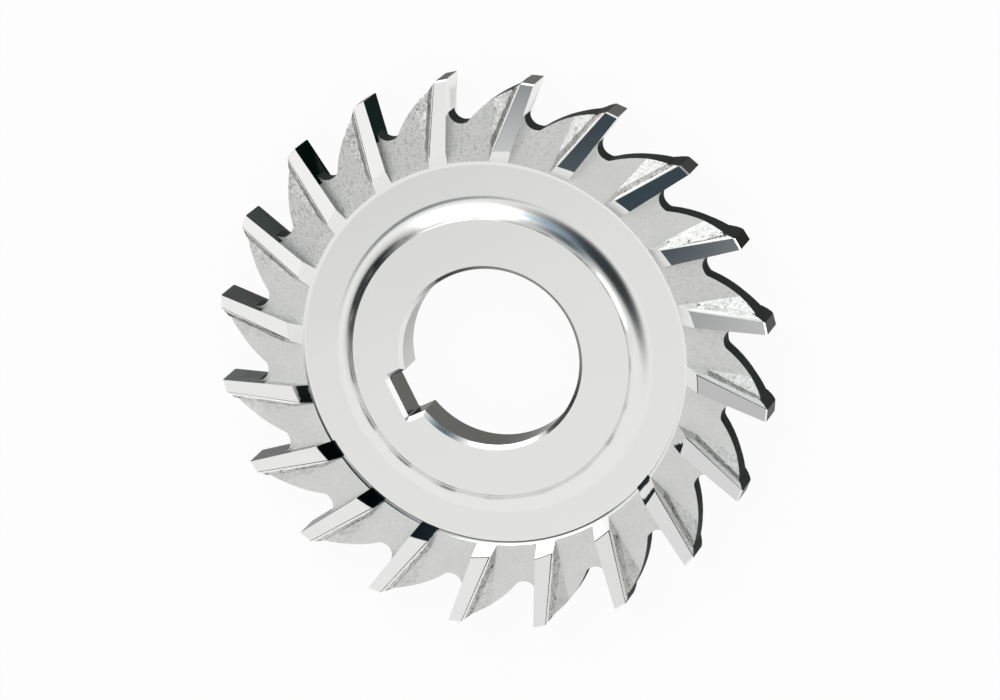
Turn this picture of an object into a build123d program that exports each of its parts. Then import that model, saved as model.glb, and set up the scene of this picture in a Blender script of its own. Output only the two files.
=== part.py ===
"""Straight-tooth side and face cutter: one ring of hardened steel, turned, milled and ground."""

from math import cos, radians, sin, sqrt, tan
import os

from build123d import *

os.makedirs("parts", exist_ok=True)

# Sizes of the disc, in millimetres and degrees
outside_diameter = 100.0
bore_diameter = 32.0
hub_diameter = 50.0
hub_width = 8.0
side_edge_drop = 0.3
web_depth = 2.2
hub_fillet_radius = 4.5
slope_start_diameter = 68.5
slope_foot_radius = 1.2
slope_angle = 31.0

# Keyway for the arbor's key, and the chamfer that runs round bore and keyway
key_width = 8.0
keyway_height = 34.8
keyway_corner_radius = 0.4
bore_chamfer = 0.7

# Teeth on the circumference
teeth = 20
rake_angle = 10.0
gullet_depth = 8.3
gullet_floor = 3.4
gullet_rake_fillet = 2.1
gullet_back_fillet = 1.2
back_bulge = 0.75
land_width = 2.1
land_relief = 5.0
second_land_width = 1.3
second_land_relief = 44.0
notch_width = 0.8
notch_relief = 54.0

# Teeth on the two sides: a ground strip, a facet behind it and a steep wall below the facet
strip_width = 2.2
strip_relief = 4.5
strip_dish = 1.0
strip_spread = 3.2
facet_width = 0.9
facet_relief = 18.0
wall_slope = 70.0
corner_chamfer = 0.25

# Gashes between the side teeth. From a fold in the floor a gentle bank rises to the wall, and
# at the gash's inner end, where the fold runs in under the wall, a steep flank takes its place.
floor_height = 0.2
floor_slope = 0.8
fold_width = 7.35
fold_turn = 13.7
bank_slope = 12.0
flank_slope = 60.0

# How far a cutting shape runs past the steel
overrun = 3.0

outside_radius = outside_diameter / 2
bore_radius = bore_diameter / 2
hub_radius = hub_diameter / 2
slope_start_radius = slope_start_diameter / 2
middle = Plane.XY.offset(hub_width / 2)
side_height = hub_width - side_edge_drop
web_height = hub_width - web_depth
pitch = 360 / teeth


def slope_radius_at(rise):
    """Radius at which the rim's slope, a cone with a small arc at its foot, reaches a height."""
    arc_rise = slope_foot_radius * (1 - cos(radians(slope_angle)))
    arc_run = slope_foot_radius * sin(radians(slope_angle))
    return slope_start_radius + arc_run + (rise - arc_rise) / tan(radians(slope_angle))


hub_fillet_end = hub_radius + sqrt(2 * hub_fillet_radius * web_depth - web_depth**2)
slope_end_radius = slope_radius_at(side_height - web_height)
floor_radius = slope_radius_at(floor_height)
gash_start_radius = (hub_fillet_end + slope_start_radius) / 2

# The first tooth's tip lies on +X. Seen from above the cutter turns clockwise, so the rake
# face runs inward from the tip and falls back behind it, towards +Y.
tip = Vector(outside_radius, 0)
inward = Vector(-cos(radians(rake_angle)), sin(radians(rake_angle)))
behind = Vector(sin(radians(rake_angle)), cos(radians(rake_angle)))
up = Vector(0, 0, 1)


def in_plan(depth, width, angle=0.0):
    """A plan point given by its depth along the rake face and its distance behind it."""
    return (tip + inward * depth + behind * width).rotate(Axis.Z, angle)


def fall_back(start, length, angle):
    """The end of a stretch of tooth that runs back from a point and falls by an angle."""
    return start + Vector(-length * sin(radians(angle)), length * cos(radians(angle)))


def leaning(direction, across, angle):
    """A direction turned by an angle towards another one."""
    return direction * cos(radians(angle)) + across * sin(radians(angle))


def on_plane(plane, point):
    """The point of a plane straight above a plan point."""
    return point + up * ((plane.origin - point).dot(plane.z_dir) / plane.z_dir.Z)


def falling_plane(start, end, angle):
    """The plane that holds an inward line and falls away behind it by an angle."""
    run = (end - start).normalized()
    across = Vector(run.Y, -run.X).normalized()
    return Plane(start, x_dir=run, z_dir=leaning(across, -up, angle).cross(run))


# Profile of a gullet, from the tip of the first tooth to the tip of the tooth ahead of it
land_end = fall_back(tip, land_width, land_relief)
second_land_end = fall_back(land_end, second_land_width, second_land_relief)
notch_end = fall_back(second_land_end, notch_width, notch_relief)
rake_foot = in_plan(gullet_depth / cos(radians(rake_angle)), 0)
back_foot = rake_foot - Vector(0, gullet_floor)
clear_radius = outside_radius / cos(radians(pitch / 2)) + overrun

with BuildSketch() as gullet:
    with BuildLine():
        back_top = Polyline(
            *[point.rotate(Axis.Z, -pitch) for point in (tip, land_end, second_land_end, notch_end)]
        )
        SagittaArc(back_top @ 1, back_foot, -back_bulge)
        Polyline(
            back_foot,
            rake_foot,
            tip,
            (clear_radius, 0),
            Vector(clear_radius, 0).rotate(Axis.Z, -pitch),
            back_top @ 0,
        )
    make_face()
    fillet(gullet.vertices().sort_by_distance(rake_foot)[0], gullet_rake_fillet)
    fillet(gullet.vertices().sort_by_distance(back_foot)[0], gullet_back_fillet)

# The faces of one side tooth and of the gash behind it, each a plane through a line. The lines
# run from the circumference to the gash's inner end.
gash_length = outside_radius - gash_start_radius


def line_on(plane, width, turn):
    """The ends of a line on a plane, from its distance behind the tip and its turn."""
    end_width = width + gash_length * tan(radians(turn))
    return on_plane(plane, in_plan(0, width)), on_plane(plane, in_plan(gash_length, end_width))


tip_corner = tip + up * side_height
strip_plane = falling_plane(
    tip_corner, tip_corner + inward - up * tan(radians(strip_dish)), strip_relief
)
facet_plane = falling_plane(*line_on(strip_plane, strip_width, strip_spread), facet_relief)
wall_plane = falling_plane(
    *line_on(facet_plane, strip_width + facet_width, strip_spread), wall_slope
)

floor_direction = Vector(1, 0).rotate(Axis.Z, pitch / 2)
floor_plane = Plane(
    floor_direction * floor_radius + up * (web_height + floor_height),
    x_dir=up.cross(floor_direction),
    z_dir=leaning(up, floor_direction, floor_slope),
)
fold = line_on(floor_plane, fold_width, -fold_turn)
bank_plane = falling_plane(*fold, bank_slope)
flank_plane = falling_plane(*fold, flank_slope)

# The cutting shape of one side tooth: all that lies above its own faces, above the bank and
# above the floor, from its own rake face back to the rake face of the next tooth
with BuildPart() as side_gash:
    for tooth_plane in (strip_plane, facet_plane, wall_plane, flank_plane):
        with BuildSketch(tooth_plane):
            Rectangle(outside_diameter, outside_diameter)
        extrude(amount=outside_radius)
    with BuildSketch(middle):
        with BuildLine():
            Polyline(
                in_plan(-overrun, -overrun),
                in_plan(gash_length, -overrun),
                in_plan(gash_length, 0, pitch),
                in_plan(-overrun, 0, pitch),
                close=True,
            )
        make_face()
    extrude(amount=hub_width, mode=Mode.INTERSECT)
    for gash_plane in (floor_plane, bank_plane):
        with BuildSketch(gash_plane):
            Rectangle(outside_diameter, outside_diameter)
        extrude(amount=hub_width, mode=Mode.INTERSECT)

# The small chamfer where a side strip meets the land on the circumference
land_run = (on_plane(strip_plane, land_end) - tip_corner).normalized()

with BuildPart() as tip_chamfer:
    with BuildSketch(Plane(tip_corner - land_run * overrun, x_dir=(1, 0, 0), z_dir=-land_run)):
        Polygon(
            (-2 * corner_chamfer, corner_chamfer),
            (corner_chamfer, -2 * corner_chamfer),
            (corner_chamfer, corner_chamfer),
            align=None,
        )
    extrude(amount=-(land_width + second_land_width + 2 * overrun))

# The cutter: a turned ring with hub, hollow web and rim, then the cuts
with BuildPart() as cutter:
    with BuildSketch(Plane.XZ):
        with BuildLine():
            Polyline(
                (slope_end_radius, side_height),
                (outside_radius, side_height),
                (outside_radius, hub_width / 2),
                (bore_radius, hub_width / 2),
                (bore_radius, hub_width),
                (hub_radius, hub_width),
            )
            TangentArc(
                (hub_fillet_end, web_height),
                (hub_radius, hub_width),
                tangent=(-1, 0),
            )
            Line((hub_fillet_end, web_height), (slope_start_radius, web_height))
            slope_foot = JernArc(
                start=(slope_start_radius, web_height),
                tangent=(1, 0),
                radius=slope_foot_radius,
                arc_size=slope_angle,
            )
            Line(slope_foot @ 1, (slope_end_radius, side_height))
        make_face()
    revolve(axis=Axis.Z)
    mirror(about=middle)

    # The keyway opens towards -X and has rounded root corners
    keyway_floor = keyway_height - bore_radius
    with BuildSketch() as keyway:
        with Locations((-keyway_floor / 2, 0)):
            Rectangle(keyway_floor, key_width)
        fillet(keyway.vertices().group_by(Axis.X)[0], keyway_corner_radius)
    extrude(amount=hub_width, mode=Mode.SUBTRACT)

    # One chamfer runs round bore and keyway on both hub faces
    face_edges = cutter.edges().filter_by(Plane.XY)
    face_edges = face_edges.group_by(Axis.Z)[0] + face_edges.group_by(Axis.Z)[-1]
    chamfer(
        face_edges.filter_by(lambda edge: abs(edge @ 0) < hub_radius - bore_chamfer), bore_chamfer
    )

    # The gullets across the rim
    with BuildSketch():
        with PolarLocations(0, teeth):
            add(gullet.sketch)
    extrude(amount=hub_width, mode=Mode.SUBTRACT)

    # Side teeth and their chamfers, on the upper face and mirrored on the lower one
    for cut in (side_gash.part, tip_chamfer.part):
        with PolarLocations(0, teeth):
            add(cut, mode=Mode.SUBTRACT)
            add(cut.mirror(middle), mode=Mode.SUBTRACT)

cutter.part.label = "cutter_body"
export_step(cutter.part, "parts/cutter_body.step")
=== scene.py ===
"""Side and face cutter: the finishes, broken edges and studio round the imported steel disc."""

import logging
from dataclasses import dataclass
from enum import Enum
from math import atan2, cos, degrees, hypot, pi, radians, sin, sqrt, tan
from typing import Any

import bmesh
import bpy
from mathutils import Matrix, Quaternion, Vector, noise


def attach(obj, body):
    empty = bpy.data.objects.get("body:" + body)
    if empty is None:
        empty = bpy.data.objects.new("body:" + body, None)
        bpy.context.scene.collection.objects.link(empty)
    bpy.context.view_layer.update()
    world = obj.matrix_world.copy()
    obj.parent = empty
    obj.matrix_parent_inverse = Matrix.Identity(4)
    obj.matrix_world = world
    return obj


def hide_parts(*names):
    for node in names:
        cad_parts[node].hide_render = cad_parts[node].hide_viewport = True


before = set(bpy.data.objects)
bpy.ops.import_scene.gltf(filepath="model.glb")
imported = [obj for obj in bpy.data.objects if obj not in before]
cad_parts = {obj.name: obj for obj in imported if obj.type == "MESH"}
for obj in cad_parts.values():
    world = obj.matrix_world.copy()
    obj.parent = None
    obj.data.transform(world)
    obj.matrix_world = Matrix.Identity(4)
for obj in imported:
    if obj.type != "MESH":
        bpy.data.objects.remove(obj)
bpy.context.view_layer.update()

MM = 0.001
MILLIMETRES = (1000.0, 1000.0, 1000.0)
TOOTH_MAP = "tooth_map"
# Share of painted light at each corner: 0 is painted dark reflection and shade, 1 the plain tone
PAINTED_LIGHT_SHARE = "painted_light_share"
WORN_SHARE = "worn_share"
log = logging.getLogger("side_and_face_cutter")


class Zone(Enum):
    """Kinds of surface on the cutter, each with a finish of its own."""

    GROUND_FACE = 0
    TURNED_HOLLOW = 1
    BORE = 2
    SIDE_STRIP = 3
    FACET = 4
    GASH_FLOOR = 5
    GASH_BANK = 6
    ROUGH_WALL = 7
    FLANK = 8
    RAKE_FACE = 9
    LAND = 10
    TOOTH_BACK = 11
    BROKEN_EDGE = 12
    STRIP_HEEL = 13
    # Rake faces with no painted dark reflection
    BARE_RAKE = 14


CURVED = {Zone.TURNED_HOLLOW, Zone.BORE, Zone.TOOTH_BACK, Zone.ROUGH_WALL}


def ramp(value: float, none: float, full: float) -> float:
    """A straight ramp from 0 at one value to 1 at another."""
    return min(1.0, max(0.0, (value - none) / (full - none)))


def direction(azimuth: float, elevation: float) -> Vector:
    """The unit vector towards an azimuth and an elevation in degrees."""
    turn, climb = radians(azimuth), radians(elevation)
    return Vector((cos(climb) * cos(turn), cos(climb) * sin(turn), sin(climb)))


def add_object(name: str, data: Any) -> bpy.types.Object:
    """Add an object to the scene.

    Args:
        name: its name.
        data: its mesh, lamp or camera.

    Returns:
        The object.
    """
    added = bpy.data.objects.new(name, data)
    bpy.context.scene.collection.objects.link(added)
    return added


def add_sheet(name: str, size: float) -> bpy.types.Object:
    """Add a flat square sheet to the scene.

    Args:
        name: its name.
        size: the length of its sides, in metres.

    Returns:
        The sheet.
    """
    shape = bmesh.new()
    bmesh.ops.create_grid(shape, x_segments=1, y_segments=1, size=size / 2)
    mesh = bpy.data.meshes.new(name)
    shape.to_mesh(mesh)
    shape.free()
    return add_object(name, mesh)


def aim_at_cutter(thing: bpy.types.Object, towards: Vector, distance: float) -> None:
    """Put a lamp or a card round the cutter, with its underside towards it.

    Args:
        thing: the lamp or the card.
        towards: the direction in which it stands.
        distance: how far away it stands, in metres.
    """
    thing.location = towards * distance
    thing.rotation_mode = "QUATERNION"
    thing.rotation_quaternion = towards.to_track_quat("Z", "Y")
    thing.visible_camera = False


class Value:
    """A socket of a material that takes part in Python arithmetic."""

    def __init__(self, tree: "Tree", socket: bpy.types.NodeSocket) -> None:
        """Wrap a socket.

        Args:
            tree: the node tree that the socket belongs to.
            socket: an output socket.
        """
        self.tree = tree
        self.socket = socket

    def __add__(self, other: Any) -> "Value":
        """Sum."""
        return self.tree.maths("ADD", self, other)

    def __radd__(self, other: Any) -> "Value":
        """Sum, with the number on the left."""
        return self.tree.maths("ADD", other, self)

    def __sub__(self, other: Any) -> "Value":
        """Difference."""
        return self.tree.maths("SUBTRACT", self, other)

    def __rsub__(self, other: Any) -> "Value":
        """Difference, with the number on the left."""
        return self.tree.maths("SUBTRACT", other, self)

    def __mul__(self, other: Any) -> "Value":
        """Product."""
        return self.tree.maths("MULTIPLY", self, other)

    def __rmul__(self, other: Any) -> "Value":
        """Product, with the number on the left."""
        return self.tree.maths("MULTIPLY", other, self)


class Tree:
    """A node tree that is written as expressions."""

    def __init__(self, node_tree: bpy.types.NodeTree) -> None:
        """Empty a node tree and keep it.

        Args:
            node_tree: the tree of a material or of the world.
        """
        self.nodes = node_tree.nodes
        self.links = node_tree.links
        self.nodes.clear()

    def node(self, kind: str, settings: dict[str, Any] | None = None, **inputs: Any) -> Any:
        """Add a node.

        Args:
            kind: the node's type.
            settings: properties that are set before any socket.
            inputs: values or links of the sockets, by the socket's name with _ for a space.

        Returns:
            The new node.
        """
        made = self.nodes.new(kind)
        for name, setting in (settings or {}).items():
            setattr(made, name, setting)
        for name, given in inputs.items():
            self.feed(made.inputs[name.replace("_", " ")], given)
        return made

    def feed(self, socket: bpy.types.NodeSocket, given: Any) -> None:
        """Link a value to a socket, or set the socket's own number.

        Args:
            socket: the input socket.
            given: a Value, an output socket or a plain value.
        """
        if isinstance(given, Value):
            self.links.new(given.socket, socket)
        elif isinstance(given, bpy.types.NodeSocket):
            self.links.new(given, socket)
        else:
            socket.default_value = given

    def maths(self, operation: str, *values: Any) -> Value:
        """Add a Math node.

        Args:
            operation: the node's operation.
            values: its inputs in order.

        Returns:
            The result.
        """
        made = self.node("ShaderNodeMath", {"operation": operation})
        for socket, given in zip(made.inputs, values):
            self.feed(socket, given)
        return Value(self, made.outputs[0])

    def vector_maths(self, operation: str, *values: Any, output: str = "Vector") -> Value:
        """Add a Vector Math node.

        Args:
            operation: the node's operation.
            values: its inputs in order.
            output: the name of the output that is wanted.

        Returns:
            The result.
        """
        made = self.node("ShaderNodeVectorMath", {"operation": operation})
        for socket, given in zip(made.inputs, values):
            self.feed(socket, given)
        return Value(self, made.outputs[output])

    def step(self, value: Any, low: float, high: float) -> Value:
        """A smooth step from 0 at low to 1 at high.

        Args:
            value: the value that is tested.
            low: where the step starts.
            high: where it ends.

        Returns:
            The mask.
        """
        made = self.node(
            "ShaderNodeMapRange", {"interpolation_type": "SMOOTHSTEP"}, Value=value
        )
        for name, number in (("From Min", low), ("From Max", high)):
            made.inputs[name].default_value = number
        return Value(self, made.outputs["Result"])

    def tint(self, share: Any, first: Any, second: Any) -> Value:
        """Blend two colours.

        Args:
            share: how much of the second colour shows.
            first: the colour at 0.
            second: the colour at 1.

        Returns:
            The blended colour.
        """
        made = self.node("ShaderNodeMix", {"data_type": "RGBA"})
        # The sockets for colours come after those for numbers and vectors
        for place, given in ((0, share), (6, first), (7, second)):
            self.feed(made.inputs[place], given)
        return Value(self, made.outputs[2])

    def scaled(self, colour: tuple[float, float, float], share: Value) -> Value:
        """A colour made lighter or darker by a value.

        Args:
            colour: the plain colour.
            share: the factor.

        Returns:
            The colour.
        """
        made = self.node("ShaderNodeVectorMath", {"operation": "SCALE"}, Scale=share)
        made.inputs[0].default_value = colour
        return Value(self, made.outputs["Vector"])

    def attribute(self, name: str) -> Value:
        """A number that is painted on the piece.

        Args:
            name: the attribute's name.

        Returns:
            The number.
        """
        made = self.node("ShaderNodeAttribute", {"attribute_name": name})
        return Value(self, made.outputs["Fac"])

    def tooth_parts(self) -> tuple[Value, Value]:
        """Depth and width on the tooth, in millimetres.

        Returns:
            The two values.
        """
        unrolled = self.node("ShaderNodeUVMap", {"uv_map": TOOTH_MAP})
        parts = self.node("ShaderNodeSeparateXYZ", Vector=unrolled.outputs["UV"])
        return Value(self, parts.outputs["X"]), Value(self, parts.outputs["Y"])

    def noise(self, place: Value, scale: float, detail: float = 2.0, rough: float = 0.5) -> Value:
        """Noise between 0 and 1.

        Args:
            place: the coordinates that are read.
            scale: the number of grains to a unit.
            detail: the number of finer layers.
            rough: how strong the finer layers are.

        Returns:
            The noise.
        """
        made = self.node(
            "ShaderNodeTexNoise", Vector=place, Scale=scale, Detail=detail, Roughness=rough
        )
        return Value(self, made.outputs["Fac"])

    def show_mix(self, share: Value, first: Any, second: Any) -> None:
        """Show a mix of two shaders on the surface.

        Args:
            share: how much of the second shader shows.
            first: the node of the shader at 0.
            second: the node of the shader at 1.
        """
        mixed = self.node("ShaderNodeMixShader", Fac=share)
        for place, shader in ((1, first), (2, second)):
            self.feed(mixed.inputs[place], shader.outputs[0])
        self.node("ShaderNodeOutputMaterial", Surface=mixed.outputs[0])


def new_material(name: str) -> tuple[bpy.types.Material, Tree]:
    """Make an empty material.

    Args:
        name: its name.

    Returns:
        The material, and the tree that its nodes go into.
    """
    made = bpy.data.materials.new(name)
    made.use_nodes = True
    return made, Tree(made.node_tree)


@dataclass(frozen=True)
class SteelFinish:
    """One finish of the cutter's steel, in the words of the one who grinds it.

    Tone is the steel's colour, and the painted dark colour is painted dark reflection and shade,
    which takes the tone's place where the piece is painted with little light. Blotch, speckle and
    stain are shares of the tone, grain, grind lines, scratches and pits are strengths, and fleck,
    pit size and the reach of the painted dark reflection are in millimetres. Edge tint is how much
    of the tone is left at a glancing view. Counts are to a millimetre, and where there are two,
    they are along the tooth and across it.
    """

    name: str
    tone: tuple[float, float, float]
    roughness: float
    blotch: float = 0.03
    speckle: float = 0.0
    grind_lines: float = 0.0
    scratches: float = 0.0
    grain: float = 0.0
    fleck: float = 0.3
    pits: float = 0.0
    pit_size: float = 0.4
    along_rings: bool = False
    # The colour of painted dark reflection and shade, where a finish has it
    painted_dark: tuple[float, float, float] | None = None
    # How far in from the tooth's tip the painted dark reflection reaches
    painted_dark_depth: float = 0.0
    follows_wear: bool = False
    stain: float = 0.0
    edge_tint: float = 1.0

    blotch_count = 0.3
    shade_roughness = 0.4
    unworn_share = 0.25
    grain_height = 0.05
    line_counts = (0.3, 9.0)
    line_tone = 0.25
    line_height = 0.0015
    painted_dark_fade = 0.15
    scratch_counts = (0.7, 3.2)
    scratch_step = (0.56, 0.7)
    scratch_tone = 0.3
    scratch_height = 0.03
    pit_step = (0.57, 0.66)
    pit_tone = 0.22
    pit_height = 0.06
    pit_roughness = 0.2

    def material(self) -> bpy.types.Material:
        """Make the finish as a material.

        Returns:
            The material.
        """
        made, tree = new_material(self.name)
        place = Value(tree, tree.node("ShaderNodeTexCoord").outputs["Object"])
        millimetres = tree.vector_maths("MULTIPLY", place, MILLIMETRES)
        blotches = tree.noise(millimetres, self.blotch_count, 3.0)
        shade = (blotches - 0.5) * (2 * self.blotch)
        coarse = 1.0
        if self.follows_wear:
            worn = tree.attribute(WORN_SHARE)
            coarse = worn * (1 - self.unworn_share) + self.unworn_share
            shade = shade - worn * self.stain
        reliefs: list[Value] = []
        if self.speckle or self.grain:
            fine = tree.noise(millimetres, 1 / self.fleck, 4.0, 0.72)
            shade = shade + (fine - 0.5) * coarse * (2 * self.speckle)
            reliefs.append(fine * coarse * (self.grain_height * self.grain))
        if self.grind_lines:
            lines = self.lines(tree, millimetres)
            shade = shade + (lines - 0.5) * (self.line_tone * self.grind_lines)
            reliefs.append(lines * (self.line_height * self.grind_lines))
        colour = tree.scaled(self.tone, shade + 1)
        # Painted dark reflection and shade takes the tone's place where the painted light share is
        # low
        if self.painted_dark:
            colour = tree.tint(self.painted_light(tree), tree.scaled(self.painted_dark, shade * 2 + 1), colour)
        roughness = shade * self.shade_roughness + self.roughness
        if self.scratches:
            marks = self.marks(tree) * self.scratches
            colour = tree.tint(marks, colour, self.darkened(self.scratch_tone))
            reliefs.append(marks * -self.scratch_height)
        if self.pits:
            spots = tree.noise(millimetres, 1 / self.pit_size, 4.0, 0.65)
            pitting = tree.step(spots, *self.pit_step) * coarse
            colour = tree.tint(pitting * min(1.0, self.pits), colour, self.darkened(self.pit_tone))
            roughness = roughness + pitting * self.pit_roughness
            reliefs.append(pitting * (-self.pit_height * self.pits))
        feeds: dict[str, Any] = {"Base_Color": colour, "Roughness": roughness}
        if reliefs:
            height = sum(reliefs[1:], reliefs[0])
            bump = tree.node("ShaderNodeBump", Strength=1.0, Distance=0.001, Height=height)
            feeds["Normal"] = bump.outputs["Normal"]
        edge_colour = (self.edge_tint, self.edge_tint, self.edge_tint, 1.0)
        shader = tree.node(
            "ShaderNodeBsdfPrincipled", Metallic=1.0, Specular_Tint=edge_colour, **feeds
        )
        tree.node("ShaderNodeOutputMaterial", Surface=shader.outputs["BSDF"])
        return made

    def darkened(self, share: float) -> tuple[float, ...]:
        """The tone at a share of its brightness, as a node takes it."""
        return (*(part * share for part in self.tone), 1.0)

    def painted_light(self, tree: Tree) -> Value:
        """How much painted light the steel gets: as painted on the piece, and full light past the
        painted dark reflection's reach.

        Args:
            tree: the material's tree.

        Returns:
            The share of painted light.
        """
        light_share = tree.attribute(PAINTED_LIGHT_SHARE)
        if not self.painted_dark_depth:
            return light_share
        first, last = self.painted_dark_depth - self.painted_dark_fade, self.painted_dark_depth + self.painted_dark_fade
        return tree.maths("MAXIMUM", light_share, tree.step(tree.tooth_parts()[0], first, last))

    def marks(self, tree: Tree) -> Value:
        """Coarse scratches that run inward along a worn gash.

        Args:
            tree: the material's tree.

        Returns:
            The scratches, between 0 and 1.
        """
        depth, width = tree.tooth_parts()
        along, across = self.scratch_counts
        place = tree.node("ShaderNodeCombineXYZ", X=depth * along, Y=width * across)
        streaks = tree.noise(Value(tree, place.outputs["Vector"]), 1.0, 3.0)
        return tree.step(streaks, *self.scratch_step) * tree.attribute(WORN_SHARE)

    def lines(self, tree: Tree, millimetres: Value) -> Value:
        """Fine lines of a grinding wheel, round the axis or along the tooth.

        Args:
            tree: the material's tree.
            millimetres: Object coordinates in millimetres.

        Returns:
            The lines, between 0 and 1.
        """
        along, across = self.line_counts
        if self.along_rings:
            parts = tree.node("ShaderNodeSeparateXYZ", Vector=millimetres)
            flat = tree.node(
                "ShaderNodeCombineXYZ", X=parts.outputs["X"], Y=parts.outputs["Y"]
            )
            radius = tree.vector_maths("LENGTH", flat.outputs["Vector"], output="Value")
            height = Value(tree, parts.outputs["Z"])
            place = tree.node("ShaderNodeCombineXYZ", X=radius * across, Z=height * across)
        else:
            depth, width = tree.tooth_parts()
            place = tree.node("ShaderNodeCombineXYZ", X=depth * along, Y=width * across)
        return tree.noise(Value(tree, place.outputs["Vector"]), 1.0, 2.0)


@dataclass(frozen=True)
class ByTooth:
    """A number for every tooth: some teeth have their own, and the others share one."""

    others: float
    own: dict[int, float]

    def of(self, number: int) -> float:
        """The number of a tooth."""
        return self.own.get(number, self.others)


STEEL = (0.80, 0.805, 0.79)
FINISHES: dict[Zone, SteelFinish] = {
    Zone.GROUND_FACE: SteelFinish(
        "ground_face", (0.78, 0.785, 0.77), 0.22, 0.012, grind_lines=0.1, along_rings=True
    ),
    Zone.TURNED_HOLLOW: SteelFinish(
        "turned_hollow",
        (0.79, 0.795, 0.78),
        0.2,
        0.02,
        grind_lines=0.12,
        along_rings=True,
        # Painted dark reflection on the hub fillet and slope patches, and a painted shade line at
        # the slope's foot
        painted_dark=(0.02, 0.026, 0.028),
    ),
    Zone.BORE: SteelFinish(
        "honed_bore",
        STEEL,
        0.2,
        0.04,
        grind_lines=0.2,
        along_rings=True,
        # Painted dark reflection on the bore
        painted_dark=(0.16, 0.16, 0.15),
        edge_tint=0.5,
    ),
    Zone.SIDE_STRIP: SteelFinish(
        # Painted dark reflection on the side strips of some teeth
        "ground_strip", (0.86, 0.865, 0.855), 0.07, 0.006, painted_dark=(0.45, 0.455, 0.45)
    ),
    Zone.FACET: SteelFinish(
        "ground_facet", (0.9, 0.9, 0.885), 0.4, 0.05, speckle=0.1, grain=0.4, pits=0.25
    ),
    Zone.GASH_FLOOR: SteelFinish(
        "blasted_gash",
        (0.71, 0.715, 0.7),
        0.5,
        0.06,
        speckle=0.5,
        grain=1.2,
        scratches=0.6,
        pits=0.3,
        pit_size=0.42,
        follows_wear=True,
        stain=0.11,
    ),
    Zone.GASH_BANK: SteelFinish(
        "blasted_bank",
        (0.92, 0.925, 0.91),
        0.45,
        0.12,
        speckle=0.7,
        grain=2.6,
        fleck=0.6,
        scratches=0.3,
        pits=0.4,
        pit_size=1.3,
        follows_wear=True,
        # Painted shade on the banks that are not painted light
        painted_dark=(0.64, 0.645, 0.63),
    ),
    Zone.ROUGH_WALL: SteelFinish(
        "rough_wall",
        (0.72, 0.72, 0.7),
        0.42,
        0.2,
        speckle=0.8,
        grain=3.0,
        fleck=0.45,
        pits=1.0,
        pit_size=0.9,
        # Painted shade on the rough walls
        painted_dark=(0.3, 0.3, 0.285),
    ),
    Zone.FLANK: SteelFinish("flank", (0.55, 0.555, 0.54), 0.4, 0.06, speckle=0.2, grain=0.8),
    Zone.RAKE_FACE: SteelFinish(
        "rake_face",
        STEEL,
        0.28,
        0.06,
        grind_lines=0.3,
        # Painted dark reflection on the rake faces, reaching in from the tip
        painted_dark=(0.012, 0.024, 0.021),
        painted_dark_depth=7.7,
        edge_tint=0.38,
    ),
    # Rake faces in the plain tone, with no painted dark reflection
    Zone.BARE_RAKE: SteelFinish("unshaded_rake", (0.84, 0.84, 0.83), 0.26, 0.05, grind_lines=0.3),
    Zone.LAND: SteelFinish(
        "ground_land",
        STEEL,
        0.3,
        0.05,
        grind_lines=0.3,
        # Painted dark reflection on the lands
        painted_dark=(0.075, 0.075, 0.07),
        edge_tint=0.3,
    ),
    Zone.TOOTH_BACK: SteelFinish(
        "milled_back",
        (0.5, 0.5, 0.48),
        0.42,
        0.1,
        speckle=0.2,
        grain=0.8,
        # Painted dark reflection and shade all over the tooth backs
        painted_dark=(0.042, 0.047, 0.045),
        edge_tint=0.4,
    ),
    Zone.BROKEN_EDGE: SteelFinish("broken_edge", (0.88, 0.88, 0.87), 0.25, 0.01),
    # Painted dark reflection on the strips' heels
    Zone.STRIP_HEEL: SteelFinish("strip_heel", STEEL, 0.3, 0.05, painted_dark=(0.02, 0.02, 0.02)),
}

# Painted light for each tooth, on the surfaces that differ from tooth to tooth: 0 is painted dark
# reflection and shade, 1 the plain tone
PAINTED_LIGHT_BY_TOOTH: dict[Zone, ByTooth] = {
    # Rake faces: painted dark reflection, darkest on teeth 15 to 20, none on teeth 1 to 3
    Zone.RAKE_FACE: ByTooth(
        0.05,
        {
            1: 1.0, 2: 1.0, 3: 1.0, 14: 0.85, 15: 0.37, 16: 0.26, 17: 0.12, 18: 0.09,
            19: 0.0, 20: 0.02,
        },
    ),
    # Lands: painted dark reflection, darkest on teeth 3 to 5
    Zone.LAND: ByTooth(0.4, {1: 0.3, 2: 0.33, 3: 0.22, 4: 0.06, 5: 0.0, 6: 0.2, 7: 0.3}),
    # Side strips: painted dark reflection on teeth 6 to 17 and on tooth 1
    Zone.SIDE_STRIP: ByTooth(
        1.0,
        {
            1: 0.85, 6: 0.3, 7: 0.1, 8: 0.5, 9: 0.6, 10: 0.65, 11: 0.67, 12: 0.78, 13: 0.8,
            14: 0.8, 15: 0.82, 16: 0.82, 17: 0.9,
        },
    ),
    # Gash banks: painted light on the banks of teeth 2 to 9, most on 5 and 6, painted shade on the
    # rest
    Zone.GASH_BANK: ByTooth(
        0.0, {2: 0.1, 3: 0.5, 4: 0.8, 5: 1.0, 6: 1.0, 7: 0.7, 8: 0.45, 9: 0.25}
    ),
    # Rough walls: painted shade, deepest on teeth 1 to 3 and 7 to 9
    Zone.ROUGH_WALL: ByTooth(
        0.8,
        {
            1: 0.2, 2: 0.1, 3: 0.3, 4: 0.4, 5: 1.0, 6: 1.0, 7: 0.2, 8: 0.1, 9: 0.1, 10: 0.4,
            11: 0.6, 12: 0.6, 17: 0.3, 18: 0.3, 19: 0.3, 20: 0.3,
        },
    ),
}


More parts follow.
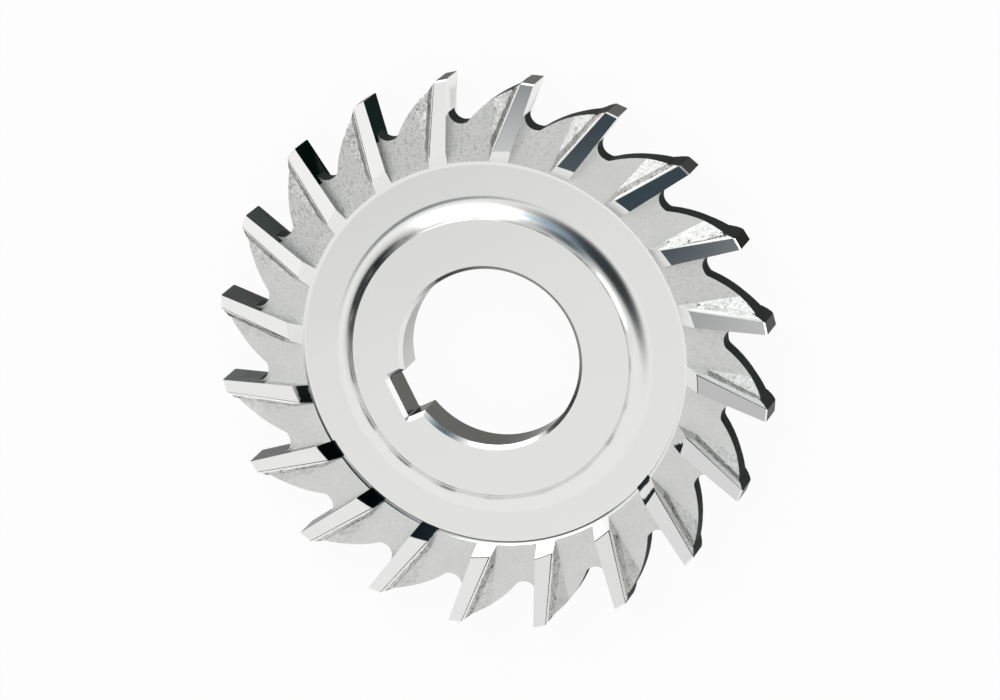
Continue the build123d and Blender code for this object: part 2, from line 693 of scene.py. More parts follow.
@dataclass(frozen=True)
class TurnedProfile:
    """What the lathe cuts on each side: bore, hub, hub fillet, web, and the rim's slope.

    Radii are measured from the axis and heights from half way up the disc, in millimetres.
    """

    middle: float = 4.0
    bore_radius: float = 16.0
    bore_chamfer: float = 0.7
    hub_radius: float = 25.0
    hub_height: float = 4.0
    web_height: float = 1.8
    fillet_radius: float = 4.5
    slope_start: float = 34.25
    foot_radius: float = 1.2
    slope_angle: float = 31.0

    def height_of(self, point: Vector) -> float:
        """A point's height above the disc's middle, in millimetres."""
        return point.z / MM - self.middle

    def fillet_end(self) -> float:
        """The radius at which the hub fillet touches the web."""
        drop = self.fillet_radius - self.hub_height + self.web_height
        return self.hub_radius + sqrt(self.fillet_radius**2 - drop**2)

    def nearest(self, radius: float, height: float) -> tuple[float, float]:
        """The point of the profile that a point close to it belongs to.

        Args:
            radius: the point's distance from the axis.
            height: its height.

        Returns:
            The radius and the height on the profile.
        """
        foot_end = self.slope_start + self.foot_radius * sin(radians(self.slope_angle))
        foot_top = self.web_height + self.foot_radius * (1 - cos(radians(self.slope_angle)))
        if radius < self.hub_radius - 1:
            chamfered = max(0.0, height - self.hub_height + self.bore_chamfer)
            return self.bore_radius + chamfered, height
        if height > self.hub_height - 0.001:
            return self.hub_radius, height
        if radius < self.fillet_end() + 1:
            return self.on_arc(radius, height, self.fillet_end(), self.fillet_radius)
        if height < foot_top:
            return self.on_arc(radius, height, self.slope_start, self.foot_radius)
        return foot_end + (height - foot_top) / tan(radians(self.slope_angle)), height

    def on_arc(
        self, radius: float, height: float, centre: float, size: float
    ) -> tuple[float, float]:
        """The nearest point of an arc that touches the web.

        Args:
            radius: the point's distance from the axis.
            height: its height.
            centre: the radius at which the arc touches the web.
            size: the arc's own radius.

        Returns:
            The radius and the height on the arc.
        """
        across, down = radius - centre, height - self.web_height - size
        share = size / hypot(across, down)
        return centre + across * share, self.web_height + size + down * share

    def normal(self, radius: float) -> tuple[float, float]:
        """The outward normal of hub fillet, web or slope at a radius.

        Args:
            radius: the distance from the axis.

        Returns:
            Its parts away from the axis and upward.
        """
        if radius < (self.hub_radius + self.slope_start) / 2:
            lean = (self.fillet_end() - radius) / self.fillet_radius
            lean = min(1.0, max(0.0, lean))
        else:
            lean = (self.slope_start - radius) / self.foot_radius
            lean = min(0.0, max(-sin(radians(self.slope_angle)), lean))
        return lean, sqrt(1 - lean**2)


@dataclass(frozen=True)
class ToothGrid:
    """Where the teeth stand, in millimetres and degrees.

    A tooth's place is counted towards +Y from the tooth on +X. Its number is counted clockwise
    as seen from above, and the first one stands a fifth of a turn from +X towards +Y.
    """

    teeth: int = 20
    first_place: int = 4
    tip_radius: float = 50.0
    rake_angle: float = 10.0

    def unrolled(self, point: Vector, place: int) -> tuple[float, float]:
        """Depth along a tooth's rake face and distance behind it, in millimetres.

        Args:
            point: a point in metres.
            place: the tooth's place.

        Returns:
            The two lengths.
        """
        turn, lean = place * 2 * pi / self.teeth, radians(self.rake_angle)
        x, y = point.x / MM, point.y / MM
        ahead_x = x * cos(turn) + y * sin(turn) - self.tip_radius
        ahead_y = y * cos(turn) - x * sin(turn)
        return (
            -ahead_x * cos(lean) + ahead_y * sin(lean),
            ahead_x * sin(lean) + ahead_y * cos(lean),
        )

    def place_of(self, point: Vector) -> int:
        """The place of the tooth whose strip or gash a point lies on.

        Args:
            point: a point in metres.

        Returns:
            The place.
        """
        near = int(atan2(point.y, point.x) // (2 * pi / self.teeth))
        for place in (near + 1, near, near - 1):
            if self.unrolled(point, place)[1] > -0.001:
                break
        return place % self.teeth

    def number_of(self, place: int) -> int:
        """A tooth's number, counted clockwise from 1."""
        return (self.first_place - place) % self.teeth + 1


@dataclass(frozen=True)
class SurfaceFinder:
    """Tells from a face's place and lean which kind of surface it is.

    Radii and heights are in millimetres, and leans in degrees from level. A rise is the upward
    part of a normal of length 1.
    """

    grid: ToothGrid = ToothGrid()
    turned: TurnedProfile = TurnedProfile()
    bore_reach: float = 23.4
    fillet_reach: float = 29.2
    floor_radius: float = 34.85
    slope_reach: float = 38.5
    land_reach: float = 49.0
    level_rise: float = 0.9999
    hub_rise: float = 0.99
    chamfer_rise: float = 0.9
    slope_rise: float = 0.5
    upright_rise: float = 0.2
    slack: float = 0.01
    aim_slack: float = 0.03
    leans: tuple[tuple[float, Zone], ...] = (
        (3.6, Zone.GASH_FLOOR),
        (6.5, Zone.SIDE_STRIP),
        (14.0, Zone.GASH_BANK),
        (24.0, Zone.FACET),
    )
    tip_chamfer_lean: float = 50.0
    tip_chamfer_start: float = 45.0
    flank_lean: float = 65.0
    rake_match: float = 0.995
    rake_slack: float = 0.05
    land_match: float = 0.98

    def zone_of(self, face: bmesh.types.BMFace) -> Zone:
        """Find the kind of surface that a face belongs to.

        Args:
            face: a face of the merged solid.

        Returns:
            Its zone.
        """
        centre, normal = face.calc_center_median(), face.normal
        radius = hypot(centre.x, centre.y) / MM
        height = abs(self.turned.height_of(centre))
        rise = abs(normal.z)
        outward = (normal.x * centre.x + normal.y * centre.y) / (radius * MM)
        sideways = (normal.x * centre.y - normal.y * centre.x) / (radius * MM)
        if radius < self.bore_reach and rise < self.chamfer_rise:
            return Zone.BORE
        if height > self.turned.hub_height - 2 * self.slack and rise > self.hub_rise:
            return Zone.GROUND_FACE
        if radius < self.fillet_reach and rise < self.level_rise:
            return Zone.TURNED_HOLLOW
        if height < self.turned.web_height + self.slack and rise > self.level_rise:
            return Zone.GROUND_FACE
        if radius < self.floor_radius and rise > self.slope_rise:
            return Zone.TURNED_HOLLOW
        if rise < self.upright_rise:
            return self.upright_zone(centre, normal, outward)
        faces_axis = outward < -self.aim_slack and abs(sideways) < self.aim_slack
        if faces_axis and radius < self.slope_reach:
            return Zone.TURNED_HOLLOW
        lean = degrees(atan2(hypot(normal.x, normal.y), rise))
        for limit, zone in self.leans:
            if lean < limit:
                return zone
        if lean < self.tip_chamfer_lean and radius > self.tip_chamfer_start:
            return Zone.BROKEN_EDGE
        return Zone.FLANK if lean < self.flank_lean else Zone.ROUGH_WALL

    def upright_zone(self, centre: Vector, normal: Vector, outward: float) -> Zone:
        """Find the kind of an upright surface on the rim.

        Args:
            centre: the middle of the face.
            normal: its normal.
            outward: the part of its normal that points away from the axis.

        Returns:
            The zone.
        """
        for place in range(self.grid.teeth):
            turn = radians(self.grid.rake_angle) - place * 2 * pi / self.grid.teeth
            faces_cut = -(normal.x * sin(turn) + normal.y * cos(turn)) > self.rake_match
            if faces_cut and abs(self.grid.unrolled(centre, place)[1]) < self.rake_slack:
                return Zone.RAKE_FACE
        if hypot(centre.x, centre.y) > self.land_reach * MM and outward > self.land_match:
            return Zone.LAND
        return Zone.TOOTH_BACK


@dataclass(frozen=True)
class Sector:
    """A stretch of a turned surface round the axis where light or shade is painted, which fades
    out on both sides.

    Angles are in degrees: the middle's, and how far from it the stretch is full and is faded.
    """

    middle: float
    full: float
    faded: float
    depth: float = 1.0

    def share(self, turn: float) -> float:
        """How strong the stretch is at an angle in degrees."""
        return self.depth * ramp(abs(turn - self.middle), self.faded, self.full)


@dataclass(frozen=True)
class SlopePatch:
    """A painted dark reflection on the rim's slope by one tooth, between two heights above the
    web.

    The lower height grows by the lean for each millimetre behind the rake face.
    """

    number: int
    low: float
    high: float
    lean: float = 0.0

    def covers(self, number: int, rise: float, width: float) -> bool:
        """Whether the patch covers a point, given its tooth, its height and its width."""
        return number == self.number and self.low + self.lean * width < rise < self.high


@dataclass(frozen=True)
class PaintedLightAndWear:
    """The painted light, dark reflections and shade on the steel, and its wear, as the photograph
    shows them.
    """

    turned: TurnedProfile = TurnedProfile()
    slope_width: float = 3.1
    # Painted light on the strips' heels, tooth by tooth; the rest are painted dark reflection
    heel_light: ByTooth = ByTooth(0.0, {2: 0.5, 3: 0.8, 4: 0.9, 5: 1.0, 6: 1.0, 16: 0.4})
    # Teeth whose strip ends are painted dark reflection
    dark_strip_ends: tuple[int, ...] = (7, 9, 10, 11, 12)
    strip_end_lean: float = 0.02
    # Painted dark reflections on the rim's slope, tooth by tooth
    slope_patches: tuple[SlopePatch, ...] = (
        SlopePatch(8, 0.55, 2.5, 0.45),
        SlopePatch(9, 1.1, 2.5),
        SlopePatch(9, -0.1, 0.3),
        SlopePatch(13, -0.1, 2.5),
        SlopePatch(14, -0.1, 2.5),
        SlopePatch(15, -0.1, 1.6),
        SlopePatch(16, 0.2, 1.3),
    )
    worn_gashes: ByTooth = ByTooth(
        0.15, {1: 1.0, 2: 0.9, 3: 0.6, 6: 0.5, 7: 0.4, 18: 0.4, 19: 1.0, 20: 1.0}
    )
    bank_wear: float = 0.9
    # Painted dark and grey reflections on the hub fillet
    fillet_dark: Sector = Sector(130, 16, 48, 0.94)
    fillet_dark_rise: tuple[float, float] = (0.2, 1.2)
    fillet_grey: Sector = Sector(22, 25, 45, 0.3)
    fillet_grey_rise: tuple[float, float] = (0.9, 1.3)
    # Painted shade line at the foot of the slope
    foot_dark: Sector = Sector(-122, 42, 50, 0.97)
    foot_line: tuple[float, float] = (34.55, 34.35)
    # Painted bright reflection on the bore's wall in this sector, painted dark reflection
    # elsewhere and in the keyway
    bore_bright: Sector = Sector(138, 33.6, 61.6)
    keyway_start: float = 0.3
    chamfer_rise: float = 0.3
    # A darker painted reflection on part of the bore's chamfer
    chamfer_shade_from: float = -78.0
    chamfer_shade_to: float = 100.0
    chamfer_shade: float = 0.25

    def wear(self, zone: Zone, number: int) -> float:
        """How worn a tooth's gash is. A bank that is painted light is worn too.

        Args:
            zone: the kind of surface.
            number: the tooth's number.

        Returns:
            The share of wear.
        """
        worn = self.worn_gashes.of(number)
        if zone is Zone.GASH_BANK:
            return max(worn, self.bank_wear * PAINTED_LIGHT_BY_TOOTH[zone].of(number))
        return worn

    def painted_light(
        self, loop: bmesh.types.BMLoop, zone: Zone, number: int, width: float
    ) -> float:
        """How much painted light a corner gets, against painted dark reflection and shade.

        Args:
            loop: the corner.
            zone: the kind of surface.
            number: the number of its tooth.
            width: its distance behind the tooth's rake face, in millimetres.

        Returns:
            The share of painted light.
        """
        point, normal = loop.vert.co, loop.face.normal
        if zone in PAINTED_LIGHT_BY_TOOTH:
            return PAINTED_LIGHT_BY_TOOTH[zone].of(number)
        # Strip heels: painted dark reflection at the strip ends of teeth 7 and 9 to 12, and along
        # the heels of most teeth
        if zone is Zone.STRIP_HEEL:
            if normal.xy.dot(point.xy) < -self.strip_end_lean * point.xy.length:
                return float(number not in self.dark_strip_ends)
            return self.heel_light.of(number)
        if zone is Zone.BORE:
            return self.bore(point, normal)
        if zone is Zone.TURNED_HOLLOW:
            return self.hollow(point, number, width)
        # Tooth backs get no painted light: they are painted dark reflection and shade all over
        return 0.0

    def bore(self, point: Vector, normal: Vector) -> float:
        """How much painted light the bore gets: painted reflections on its chamfer and its wall.

        Args:
            point: a point in metres.
            normal: the normal of the face that it lies on.

        Returns:
            The share of painted light.
        """
        turn = degrees(atan2(point.y, point.x))
        # Part of the chamfer is painted with a darker reflection
        if abs(normal.z) > self.chamfer_rise:
            shaded = self.chamfer_shade_from <= turn <= self.chamfer_shade_to
            return self.chamfer_shade if shaded else 1.0
        # Painted dark reflection in the keyway
        if hypot(point.x, point.y) > (self.turned.bore_radius + self.keyway_start) * MM:
            return 0.0
        # Painted bright reflection on the wall within the sector, dark outside it
        return self.bore_bright.share(turn)

    def hollow(self, point: Vector, number: int, width: float) -> float:
        """How much painted light the turned hollow gets: painted reflections by the hub and at the
        slope's end, and painted shade at its foot.

        Args:
            point: a point in metres.
            number: the number of the tooth that it is on.
            width: its distance behind the tooth's rake face, in millimetres.

        Returns:
            The share of painted light.
        """
        radius = hypot(point.x, point.y) / MM
        rise = abs(self.turned.height_of(point)) - self.turned.web_height
        turn = degrees(atan2(point.y, point.x))
        if radius < self.turned.slope_start - 1:
            # Painted dark and grey reflections on the hub fillet
            dark = ramp(rise, *self.fillet_dark_rise) * self.fillet_dark.share(turn)
            grey = ramp(rise, *self.fillet_grey_rise) * self.fillet_grey.share(turn)
            return 1.0 - dark - grey
        # Painted dark reflections on patches of the slope
        patches = self.slope_patches
        if width < self.slope_width and any(it.covers(number, rise, width) for it in patches):
            return 0.0
        # Painted shade line at the slope's foot
        return 1.0 - ramp(radius, *self.foot_line) * self.foot_dark.share(turn)


@dataclass
class CutterDisc:
    """The steel disc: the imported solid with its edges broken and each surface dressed.

    Grains are the longest edges of a zone's divided faces, and with the breaks and reliefs they
    are in millimetres. Angles are in degrees. A match is the least dot product of two normals
    that count as one surface.
    """

    grid: ToothGrid = ToothGrid()
    finder: SurfaceFinder = SurfaceFinder()
    turned: TurnedProfile = TurnedProfile()
    paint: PaintedLightAndWear = PaintedLightAndWear()
    facet_cuts: ByTooth = ByTooth(
        0.2,
        {
            1: 0.8, 2: 0.7, 3: 0.65, 4: 0.6, 5: 0.5, 6: 0.35, 10: 0.5, 11: 0.6, 12: 0.6,
            13: 0.6, 14: 0.6, 15: 0.6, 16: 0.5, 17: 0.7, 18: 0.8, 19: 0.8, 20: 0.8,
        },
    )
    wall_grain: float = 0.6
    bore_grain: float = 1.0
    turned_grain: float = 0.65
    foot_grain: float = 0.38
    least_edge: float = 0.002
    turned_slack: float = 0.08
    wall_relief: float = 0.13
    wall_swells: tuple[tuple[float, float], ...] = ((1.1, 1.0), (0.45, 0.7))
    wall_edge_push: float = 1.6
    edge_break: float = 0.05
    heel_break: float = 0.08
    plane_angle: float = 4.0
    curve_angle: float = 30.0
    plane_area: float = 0.05
    fillet_top: float = 25.3
    top_match: float = 0.97
    turned_match: float = 0.8
    smooth_match: float = 0.7
    inset: float = 0.05
    land_turn: float = 0.6
    tooth_shift: float = 37.0
    height_shift: float = 0.7

    def build(self) -> bpy.types.Object:
        """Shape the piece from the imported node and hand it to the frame.

        Returns:
            The finished object.
        """
        shape = bmesh.new()
        shape.from_mesh(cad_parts["cutter_body"].data)
        bmesh.ops.remove_doubles(shape, verts=shape.verts, dist=0.001 * MM)
        bmesh.ops.dissolve_limit(
            shape, angle_limit=radians(0.2), verts=shape.verts, edges=shape.edges
        )
        bmesh.ops.recalc_face_normals(shape, faces=shape.faces)
        for face in shape.faces:
            face.material_index = self.finder.zone_of(face).value
        self.narrow(shape)
        self.turn(shape)
        self.roughen(shape)
        self.rejoin(shape)
        self.break_edges(shape)
        self.map_teeth(shape)
        mesh = bpy.data.meshes.new("cutter_disc")
        shape.normal_update()
        normals = self.corner_normals(shape)
        shape.to_mesh(mesh)
        shape.free()
        mesh.normals_split_custom_set(normals)
        disc = add_object("cutter_disc", mesh)
        for zone in Zone:
            mesh.materials.append(FINISHES[zone].material())
        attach(disc, "root")
        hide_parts("cutter_body")
        return disc

    def faces_of(self, shape: bmesh.types.BMesh, zone: Zone) -> list[bmesh.types.BMFace]:
        """The faces of a zone."""
        return [face for face in shape.faces if face.material_index == zone.value]

    def zones_at(self, part: bmesh.types.BMEdge | bmesh.types.BMVert) -> set[Zone]:
        """The zones that meet at an edge or a corner point."""
        return {Zone(face.material_index) for face in part.link_faces}

    def narrow(self, shape: bmesh.types.BMesh) -> None:
        """Bring each facet's lower edge nearer to its strip, as ground by hand.

        Args:
            shape: the merged solid.
        """
        moves = {}
        for face in self.faces_of(shape, Zone.FACET):
            place = self.grid.place_of(face.calc_center_median())
            cut = self.facet_cuts.of(self.grid.number_of(place))
            on_strip = [vert for vert in face.verts if Zone.SIDE_STRIP in self.zones_at(vert)]
            for vert in face.verts:
                if on_strip and vert not in on_strip and Zone.ROUGH_WALL in self.zones_at(vert):
                    goal = min(on_strip, key=lambda other: (other.co - vert.co).length)
                    moves[vert] = vert.co.lerp(goal.co, cut)
        for vert, place in moves.items():
            vert.co = place

    def refine(self, shape: bmesh.types.BMesh, zone: Zone) -> None:
        """Divide the faces of a zone until their edges are as short as the zone needs.

        Args:
            shape: the merged solid.
            zone: the zone whose faces are divided.
        """
        for _ in range(6):
            self.triangulate(shape, zone)
            long_edges = {
                edge
                for face in self.faces_of(shape, zone)
                for edge in face.edges
                if edge.calc_length() > self.grain_at(zone, edge.verts[0].co) * MM
            }
            if not long_edges:
                break
            bmesh.ops.subdivide_edges(shape, edges=list(long_edges), cuts=1)
        self.triangulate(shape, zone)
        edges = {edge for face in self.faces_of(shape, zone) for edge in face.edges}
        bmesh.ops.dissolve_degenerate(shape, dist=self.least_edge * MM, edges=list(edges))

    def triangulate(self, shape: bmesh.types.BMesh, zone: Zone) -> None:
        """Cut a zone's faces into triangles.

        Args:
            shape: the merged solid.
            zone: the zone.
        """
        large = [face for face in self.faces_of(shape, zone) if len(face.verts) > 3]
        bmesh.ops.triangulate(shape, faces=large)

    def grain_at(self, zone: Zone, point: Vector) -> float:
        """The longest edge that a zone keeps at a point, in millimetres.

        Args:
            zone: the zone.
            point: a point in metres.

        Returns:
            The length.
        """
        if zone is Zone.ROUGH_WALL:
            return self.wall_grain
        if zone is Zone.BORE:
            return self.bore_grain
        on_rim = hypot(point.x, point.y) > (self.turned.slope_start - 1) * MM
        return self.foot_grain if on_rim else self.turned_grain

    def turn(self, shape: bmesh.types.BMesh) -> None:
        """Divide the turned surfaces finely and bring them onto the lathe's exact profile.

        Args:
            shape: the merged solid.
        """
        for zone in (Zone.TURNED_HOLLOW, Zone.BORE):
            self.refine(shape, zone)
            for vert in {vert for face in self.faces_of(shape, zone) for vert in face.verts}:
                radius = hypot(vert.co.x, vert.co.y)
                rise = self.turned.height_of(vert.co)
                exact, height = self.turned.nearest(radius / MM, abs(rise))
                if hypot(exact - radius / MM, height - abs(rise)) > self.turned_slack:
                    continue
                vert.co.x *= exact * MM / radius
                vert.co.y *= exact * MM / radius
                vert.co.z = (self.turned.middle + (height if rise > 0 else -height)) * MM

    def roughen(self, shape: bmesh.types.BMesh) -> None:
        """Give the steep walls their chipped, uneven skin.

        Args:
            shape: the merged solid.
        """
        self.refine(shape, Zone.ROUGH_WALL)
        shape.normal_update()
        wall_index = Zone.ROUGH_WALL.value
        moves = {}
        for vert in shape.verts:
            zones = self.zones_at(vert)
            if Zone.ROUGH_WALL not in zones or zones & {Zone.RAKE_FACE, Zone.TOOTH_BACK}:
                continue
            if len(zones) > 2:
                continue
            swell = sum(
                share * noise.noise(vert.co / (size * MM)) for size, share in self.wall_swells
            )
            walls = [face for face in vert.link_faces if face.material_index == wall_index]
            others = [face for face in vert.link_faces if face.material_index != wall_index]
            push = walls[0].normal * swell * self.wall_relief * MM
            if others:
                flat = others[0].normal
                push = (push - flat * push.dot(flat)) * self.wall_edge_push
            moves[vert] = push
        for vert, push in moves.items():
            vert.co += push

    def rejoin(self, shape: bmesh.types.BMesh) -> None:
        """Join the pieces that dividing left on the plane faces.

        Args:
            shape: the merged solid.
        """
        inner = []
        for edge in shape.edges:
            zones = self.zones_at(edge)
            on_plane = len(edge.link_faces) == 2 and len(zones) == 1 and not zones & CURVED
            if on_plane and edge.calc_face_angle(1.0) < radians(1.0):
                inner.append(edge)
        bmesh.ops.dissolve_edges(shape, edges=inner, use_verts=False, use_face_split=False)

    def break_edges(self, shape: bmesh.types.BMesh) -> None:
        """Break the strips' heels, and every other sharp edge a little, as a stone does.

        Args:
            shape: the merged solid.
        """
        strip, heel = Zone.SIDE_STRIP, Zone.STRIP_HEEL.value
        behind = ({strip, Zone.FACET}, {strip, Zone.TURNED_HOLLOW})
        heels = [edge for edge in shape.edges if self.zones_at(edge) in behind]
        self.bevel(shape, heels, self.heel_break, material=heel, clamp_overlap=False)
        sharp = [edge for edge in shape.edges if self.is_sharp(edge)]
        self.bevel(shape, sharp, self.edge_break, material=-1, clamp_overlap=True)
        for face in shape.faces:
            face.smooth = True

    def bevel(
        self,
        shape: bmesh.types.BMesh,
        edges: list[bmesh.types.BMEdge],
        width: float,
        **settings: Any,
    ) -> None:
        """Bevel some edges.

        Args:
            shape: the merged solid.
            edges: the edges.
            width: how far the bevel reaches on each side, in millimetres.
            settings: the bevel's material and whether it stops at overlaps.
        """
        bmesh.ops.bevel(
            shape,
            geom=edges,
            offset=width * MM,
            offset_type="OFFSET",
            affect="EDGES",
            segments=2,
            profile=0.5,
            **settings,
        )

    def is_sharp(self, edge: bmesh.types.BMEdge) -> bool:
        """Whether an edge gets broken: not on walls and turned faces that only look faceted.

        Args:
            edge: an edge of the shape.

        Returns:
            The answer.
        """
        zones = self.zones_at(edge)
        hollow = Zone.TURNED_HOLLOW
        smooth = zones in ({hollow}, {Zone.ROUGH_WALL}, {hollow, Zone.GASH_FLOOR})
        if smooth or Zone.STRIP_HEEL in zones or not edge.is_manifold:
            return False
        at_web = zones == {hollow, Zone.GROUND_FACE}
        if at_web and hypot(*edge.verts[0].co.xy) >= (self.turned.hub_radius + 1) * MM:
            return False
        curved = at_web or (len(zones) == 1 and zones <= CURVED)
        limit = self.curve_angle if curved else self.plane_angle
        return edge.calc_face_angle(0.0) > radians(limit)

    def corner_normals(self, shape: bmesh.types.BMesh) -> list[Vector]:
        """Normals that keep plane faces plane, turned faces true and broken edges smooth.

        Args:
            shape: the finished shape.

        Returns:
            One normal for each corner of each face, in order.
        """
        areas = {face: face.calc_area() for face in shape.faces}
        least = self.plane_area * MM * MM
        carriers: dict[bmesh.types.BMVert, list[Vector]] = {vert: [] for vert in shape.verts}
        for face, area in areas.items():
            zone = Zone(face.material_index)
            for vert in face.verts:
                if zone is Zone.TURNED_HOLLOW:
                    true = self.turned_normal(vert.co)
                    if true.dot(face.normal) > self.turned_match:
                        carriers[vert].append(true)
                elif zone not in CURVED and area > least:
                    carriers[vert].append(face.normal.copy())
        normals = []
        for face, area in areas.items():
            zone = Zone(face.material_index)
            for loop in face.loops:
                if zone not in CURVED and area > least:
                    normals.append(face.normal.copy())
                else:
                    normals.append(self.bent_normal(loop, zone, carriers[loop.vert], areas))
        return normals

    def bent_normal(
        self,
        loop: bmesh.types.BMLoop,
        zone: Zone,
        carried: list[Vector],
        areas: dict[bmesh.types.BMFace, float],
    ) -> Vector:
        """The normal of a corner of a curved face or of a broken edge.

        Args:
            loop: the corner.
            zone: the kind of surface.
            carried: the normals of the plane and turned faces that meet there.
            areas: every face's area.

        Returns:
            The unit normal.
        """
        point, across = loop.vert.co, loop.face.normal
        if zone is Zone.TURNED_HOLLOW:
            at_top = point.xy.length <= self.fillet_top * MM
            true = self.turned_normal(point)
            if true.dot(across) > (self.top_match if at_top else self.turned_match):
                return true
        near = max(carried, key=across.dot, default=None)
        on_its_own = zone in CURVED and zone is not Zone.TURNED_HOLLOW
        if near is None or (on_its_own and near.dot(across) <= self.turned_match):
            return self.shared_normal(loop, areas)
        return near

    def shared_normal(
        self, loop: bmesh.types.BMLoop, areas: dict[bmesh.types.BMFace, float]
    ) -> Vector:
        """The mean normal of the faces that run on smoothly from a corner.

        Args:
            loop: the corner.
            areas: every face's area.

        Returns:
            The unit normal.
        """
        total = Vector()
        for other in loop.vert.link_faces:
            if other.normal.dot(loop.face.normal) > self.smooth_match:
                total += other.normal * areas[other]
        return total.normalized()

    def turned_normal(self, point: Vector) -> Vector:
        """The exact normal of the turned hollow at a point.

        Args:
            point: a point in metres.

        Returns:
            The unit normal.
        """
        radius = hypot(point.x, point.y)
        away, upward = self.turned.normal(radius / MM)
        side = 1 if self.turned.height_of(point) > 0 else -1
        return Vector((point.x / radius * away, point.y / radius * away, side * upward))

    def map_teeth(self, shape: bmesh.types.BMesh) -> None:
        """Unroll every tooth for the grinding lines, and paint on it the wear and the painted
        light, dark reflections and shade.

        Args:
            shape: the finished shape.
        """
        unrolled = shape.loops.layers.uv.new(TOOTH_MAP)
        light_share = shape.loops.layers.float.new(PAINTED_LIGHT_SHARE)
        worn = shape.loops.layers.float.new(WORN_SHARE)
        for face in shape.faces:
            zone = Zone(face.material_index)
            inside = face.calc_center_median() - face.normal * self.inset * MM
            if zone is Zone.LAND:
                inside.rotate(Quaternion((0, 0, 1), radians(self.land_turn)))
            place = self.grid.place_of(inside)
            number = self.grid.number_of(place)
            wear = self.paint.wear(zone, number)
            # Rake faces with no painted dark reflection take the unshaded rake finish
            if zone is Zone.RAKE_FACE and PAINTED_LIGHT_BY_TOOTH[zone].of(number) == 1:
                face.material_index = Zone.BARE_RAKE.value
            for loop in face.loops:
                point = loop.vert.co
                depth, width = self.grid.unrolled(point, place)
                across = width + place * self.tooth_shift + point.z / MM * self.height_shift
                loop[unrolled].uv = (depth, across)
                loop[worn] = wear
                # The share of painted light against painted dark reflection and shade
                loop[light_share] = self.paint.painted_light(loop, zone, number, width)


@dataclass(frozen=True)
class Flag:
    """A dark card that polished steel shows as a dark band.

    Its direction, width and height are in degrees as seen from the cutter, and its distance is
    in metres.
    """

    name: str
    azimuth: float
    elevation: float
    width: float
    height: float
    tone: float
    soft_edge: float = 0.3
    distance: float = 2.0

    def build(self) -> bpy.types.Object:
        """Hang the card, facing the cutter.

        Returns:
            The card.
        """
        card = add_sheet(self.name, 1.0)
        aim_at_cutter(card, direction(self.azimuth, self.elevation), self.distance)
        card.scale = (self.length(self.width), self.length(self.height), 1.0)
        card.visible_shadow = False
        card.data.materials.append(self.material())
        return card

    def length(self, angle: float) -> float:
        """The length, in metres, that takes up an angle as seen from the cutter."""
        return 2 * self.distance * tan(radians(angle / 2))

    def cloth_colour(self) -> tuple[float, float, float, float]:
        """The cloth's dark blue grey."""
        return (self.tone * 0.65, self.tone * 1.05, self.tone * 1.35, 1.0)

    def material(self) -> bpy.types.Material:
        """Dull dark cloth that thins out towards the card's edge.

        Returns:
            The material.
        """
        made, tree = new_material(self.name)
        place = tree.node("ShaderNodeTexCoord").outputs["Object"]
        from_middle = tree.vector_maths("LENGTH", place, output="Value")
        cover = 1 - tree.step(from_middle, 0.5 * (1 - self.soft_edge), 0.5)
        cloth = tree.node("ShaderNodeEmission", Color=self.cloth_colour(), Strength=1.0)
        tree.show_mix(cover, tree.node("ShaderNodeBsdfTransparent"), cloth)
        return made


@dataclass(frozen=True)
class Softbox:
    """A large soft lamp. Its direction is in degrees and its sizes are in metres."""

    name: str
    azimuth: float
    elevation: float
    width: float
    height: float
    radiance: float
    distance: float = 2.2

    def build(self) -> bpy.types.Object:
        """Set up the lamp, facing the cutter.

        Returns:
            The lamp.
        """
        lamp = bpy.data.lights.new(self.name, "AREA")
        lamp.shape = "RECTANGLE"
        lamp.size = self.width
        lamp.size_y = self.height
        lamp.energy = 4 * self.width * self.height * self.radiance
        stand = add_object(self.name, lamp)
        aim_at_cutter(stand, direction(self.azimuth, self.elevation), self.distance)
        return stand


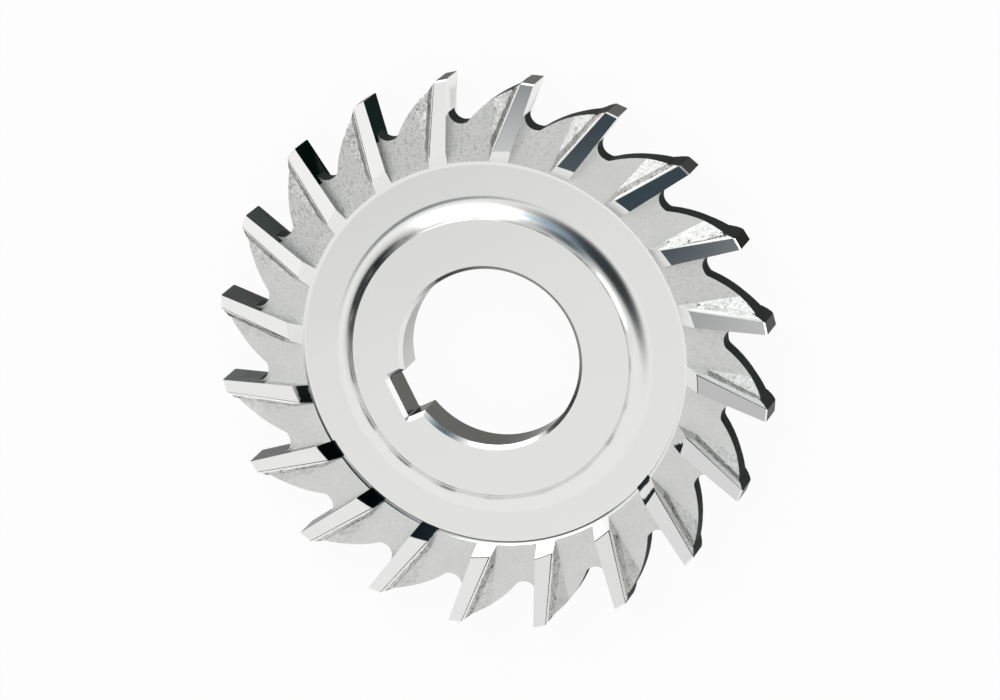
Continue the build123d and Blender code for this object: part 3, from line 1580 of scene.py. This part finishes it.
@dataclass(frozen=True)
class Studio:
    """The pale floor, the white room, the lamps, the dark cards and the camera."""

    camera_place: tuple[float, float, float] = (0.29276, 0.11153, 0.77124)
    camera_aim: tuple[float, float, float] = (0.00225, 0.00057, 0.0075)
    camera_roll: float = -135.768
    lens: float = 170.0
    floor_size: float = 30.0
    plain_level: float = 0.75
    floor_glow: float = 0.94
    lamps: tuple[Softbox, ...] = (
        Softbox("wide_softbox", 90, 30, 1.9, 2.4, 1.6),
        Softbox("low_softbox", -5, 9, 1.2, 0.7, 1.6),
    )
    flags: tuple[Flag, ...] = (
        Flag("round_flag", 10, 59, 76, 76, 0.02, soft_edge=0.6),
        Flag("narrow_flag", 165, 67.5, 18, 25, 0.05, soft_edge=0.5),
        Flag("low_flag", 145, 6, 52, 40, 0.02, soft_edge=0.55),
        Flag("side_flag", 36, 23, 46, 50, 0.12, soft_edge=0.85),
        Flag("haze_flag", 54, 46, 48, 48, 0.35, soft_edge=0.95),
    )

    def build(self) -> list[bpy.types.Object]:
        """Set up the studio round the cutter.

        Returns:
            Its floor, lamps and cards.
        """
        floor = self.floor()
        self.room()
        stands = [thing.build() for thing in self.lamps + self.flags]
        self.camera()
        return [floor, *stands]

    def floor(self) -> bpy.types.Object:
        """A plain white floor that keeps the cutter's shadow.

        Returns:
            The floor.
        """
        floor = add_sheet("floor", self.floor_size)
        made, tree = new_material("white_floor")
        paint = tree.node("ShaderNodeBsdfDiffuse", Color=(0.9, 0.9, 0.9, 1.0))
        glow = tree.node("ShaderNodeEmission", Color=(1.0, 1.0, 1.0, 1.0), Strength=1.0)
        tree.show_mix(self.seen(tree) * self.floor_glow, paint, glow)
        floor.data.materials.append(made)
        return floor

    def seen(self, tree: Tree) -> Value:
        """One for rays of the camera and for rays that steel or glass sends on.

        Args:
            tree: the tree that the test is added to.

        Returns:
            The test.
        """
        path = tree.node("ShaderNodeLightPath")
        seen = Value(tree, path.outputs["Is Camera Ray"])
        for name in ("Is Glossy Ray", "Is Transmission Ray"):
            seen = tree.maths("MAXIMUM", seen, Value(tree, path.outputs[name]))
        return seen

    def room(self) -> None:
        """A white room that lights the cutter at a plain level."""
        world = bpy.data.worlds.new("white_room")
        world.use_nodes = True
        tree = Tree(world.node_tree)
        level = self.plain_level + self.seen(tree) * (1 - self.plain_level)
        light = tree.node("ShaderNodeBackground", Color=(1.0, 1.0, 1.0, 1.0), Strength=level)
        tree.node("ShaderNodeOutputWorld", Surface=light.outputs[0])
        bpy.context.scene.world = world

    def camera(self) -> None:
        """The camera, where the photograph was taken."""
        data = bpy.data.cameras.new("camera")
        data.lens = self.lens
        data.sensor_width = 36.0
        data.clip_start = 0.01
        data.clip_end = 100.0
        camera = add_object("camera", data)
        place, aim = Vector(self.camera_place), Vector(self.camera_aim)
        camera.location = place
        camera.rotation_mode = "QUATERNION"
        camera.rotation_quaternion = (aim - place).to_track_quat("-Z", "Y") @ Quaternion(
            (0, 0, 1), radians(self.camera_roll)
        )
        bpy.context.scene.camera = camera


def main() -> None:
    """Build the cutter and the studio, and report every piece."""
    logging.basicConfig(level=logging.INFO, format="%(name)s: %(message)s")
    bpy.context.scene.view_settings.view_transform = "Standard"
    disc = CutterDisc().build()
    disc.data.calc_loop_triangles()
    triangles, finishes = len(disc.data.loop_triangles), len(disc.data.materials)
    log.info("%s: %d triangles, %d finishes", disc.name, triangles, finishes)
    for thing in Studio().build():
        log.info("%s: on the stage", thing.name)


if __name__ == "__main__":
    main()
